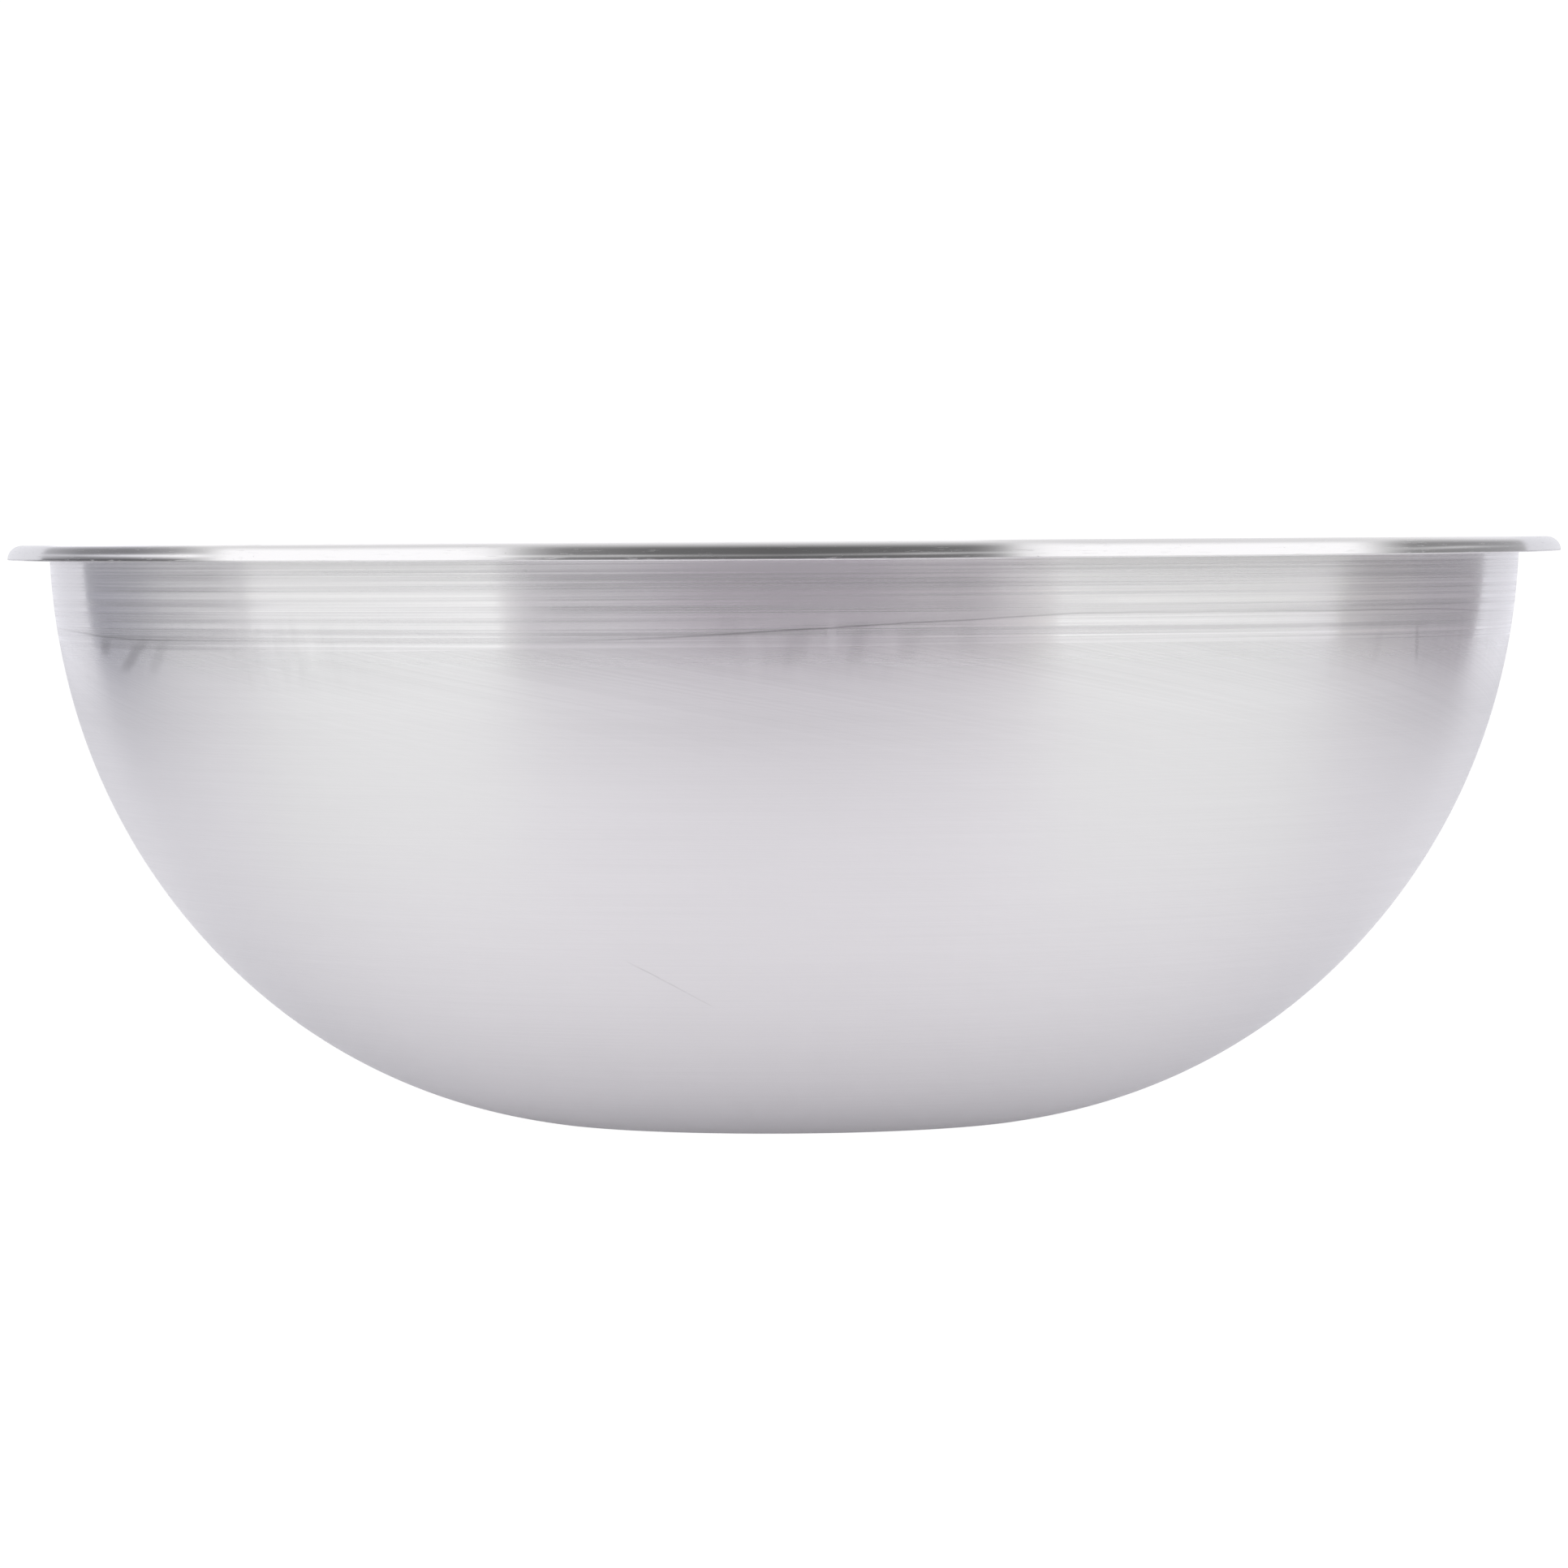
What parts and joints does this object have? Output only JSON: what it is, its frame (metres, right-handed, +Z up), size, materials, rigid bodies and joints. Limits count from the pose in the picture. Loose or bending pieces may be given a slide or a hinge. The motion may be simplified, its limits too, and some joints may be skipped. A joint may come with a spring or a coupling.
{
  "type": "mixing bowl",
  "caption": "Deep round mixing bowl of one stainless steel sheet, with a small flat base, a short brushed neck and a polished flange rim turned down into an open lip.",
  "frame": {"origin": "centre of the flat underside, on the surface that the bowl stands on", "axes": "+Z up along the bowl's axis of revolution, -Y towards the front"},
  "size_m": [0.4096, 0.4096, 0.1524],
  "materials": {
    "stainless": "fine satin on the body, coarser brushed band under the rim, polished rim"
  },
  "bodies": {
    "root": {"bowl": "stainless"}
  },
  "joints": []
}
